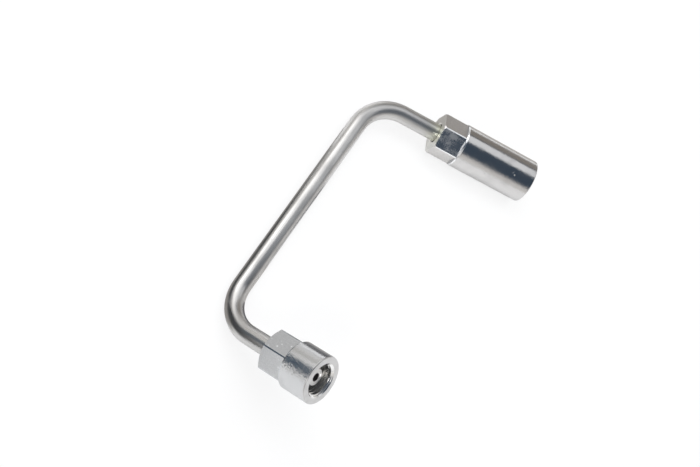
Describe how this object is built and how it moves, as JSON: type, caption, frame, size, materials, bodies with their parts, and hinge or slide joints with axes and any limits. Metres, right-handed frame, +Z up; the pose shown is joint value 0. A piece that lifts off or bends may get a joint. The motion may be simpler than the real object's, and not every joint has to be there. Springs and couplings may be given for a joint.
{
  "type": "bent tube assembly",
  "caption": "Thick-walled steel tube bent twice into an open C, with a cone head on each end and a captive union nut, one short and one long, held on each leg.",
  "frame": {"origin": "centre of the tube's flat end face inside the long nut", "axes": "+X out of the long nut's mouth, +Z up as the part lies at rest on the long nut's sleeve and the front bend"},
  "size_m": [0.1067, 0.1546, 0.0453],
  "materials": {
    "tube_steel": "satin, zinc plated",
    "nut_steel": "turned and zinc plated",
    "collar_steel": "plain turned"
  },
  "bodies": {
    "tube": {"tube": "tube_steel"},
    "front_collar": {"front_collar": "collar_steel"},
    "front_nut": {"front_nut": "nut_steel"},
    "long_collar": {"long_collar": "collar_steel"},
    "long_nut": {"long_nut": "nut_steel"}
  },
  "joints": [
    {"name": "front_collar_slide", "type": "slide", "parent": "tube", "child": "front_collar", "axis": [0.6994, -0.3177, 0.6402], "range_m": [-0.0132, 0.0026]},
    {"name": "front_nut_turn", "type": "hinge", "parent": "front_collar", "child": "front_nut", "pos_m": [-0.06235, -0.13517, 0.02785], "axis": [0.6994, -0.3177, 0.6402], "continuous": true},
    {"name": "long_collar_slide", "type": "slide", "parent": "tube", "child": "long_collar", "axis": [1, 0, 0], "range_m": [-0.0165, 0]},
    {"name": "long_nut_turn", "type": "hinge", "parent": "long_collar", "child": "long_nut", "pos_m": [0.00545, 0, 0], "axis": [1, 0, 0], "continuous": true}
  ]
}
